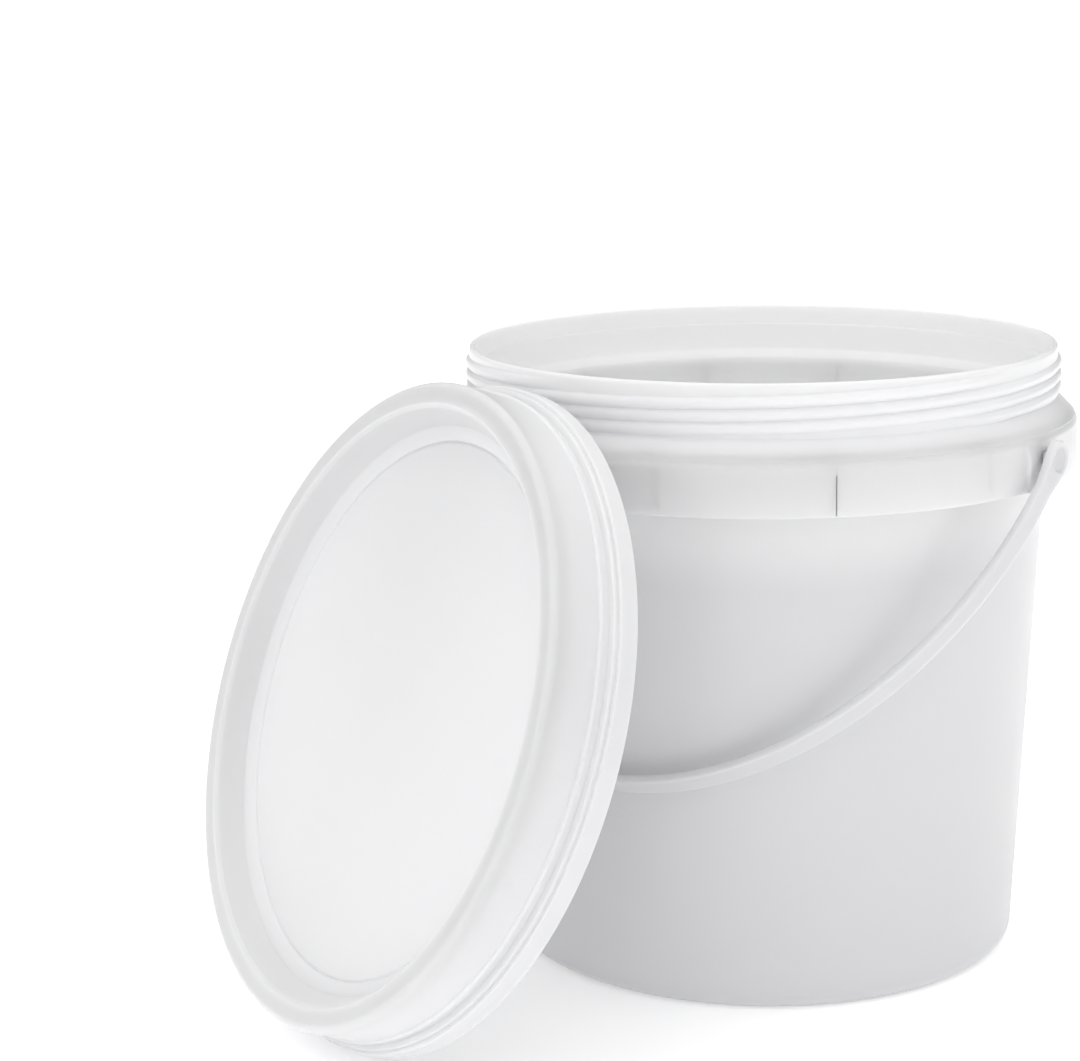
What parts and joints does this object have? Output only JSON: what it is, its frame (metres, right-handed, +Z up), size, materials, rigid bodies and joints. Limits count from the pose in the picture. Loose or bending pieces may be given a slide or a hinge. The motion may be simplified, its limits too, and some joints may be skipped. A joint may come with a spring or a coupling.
{
  "type": "plastic fermenting bucket",
  "caption": "Tapered plastic fermenting bucket with a threaded neck, a hanging collar and a swinging handle, with its sealed screw lid leaning against it.",
  "frame": {"origin": "middle of the tub's base, on the floor", "axes": "+Z up along the tub's axis; the handle's pegs lie along X; at rest the handle hangs towards -Y, and the lid leans on that side"},
  "size_m": [0.3216, 0.4012, 0.263],
  "materials": {
    "tub_plastic": "milky white polyolefin with a soft sheen",
    "handle_plastic": "white polyolefin with a soft sheen",
    "lid_plastic": "white polyolefin with a satin sheen",
    "gasket_rubber": "matt off-white seal"
  },
  "bodies": {
    "tub": {"tub": "tub_plastic"},
    "handle": {"handle": "handle_plastic", "handle_peg_right": "handle_plastic", "handle_peg_left": "handle_plastic"},
    "lid": {"lid": "lid_plastic", "lid_gasket": "gasket_rubber"}
  },
  "joints": [
    {"name": "handle_swing", "type": "hinge", "parent": "tub", "child": "handle", "pos_m": [0, 0, 0.2244], "axis": [-1, 0, 0], "range_deg": [0, 273]},
    {"name": "lid_tip", "type": "hinge", "parent": "tub", "child": "lid", "pos_m": [-0.07812, -0.24925, 0], "axis": [0.9212, -0.3891, 0], "range_deg": [0, 110.6]}
  ],
  "couplings": [
    {"joint": "lid_tip", "follows": "handle_swing", "ratio": 0.405}
  ]
}
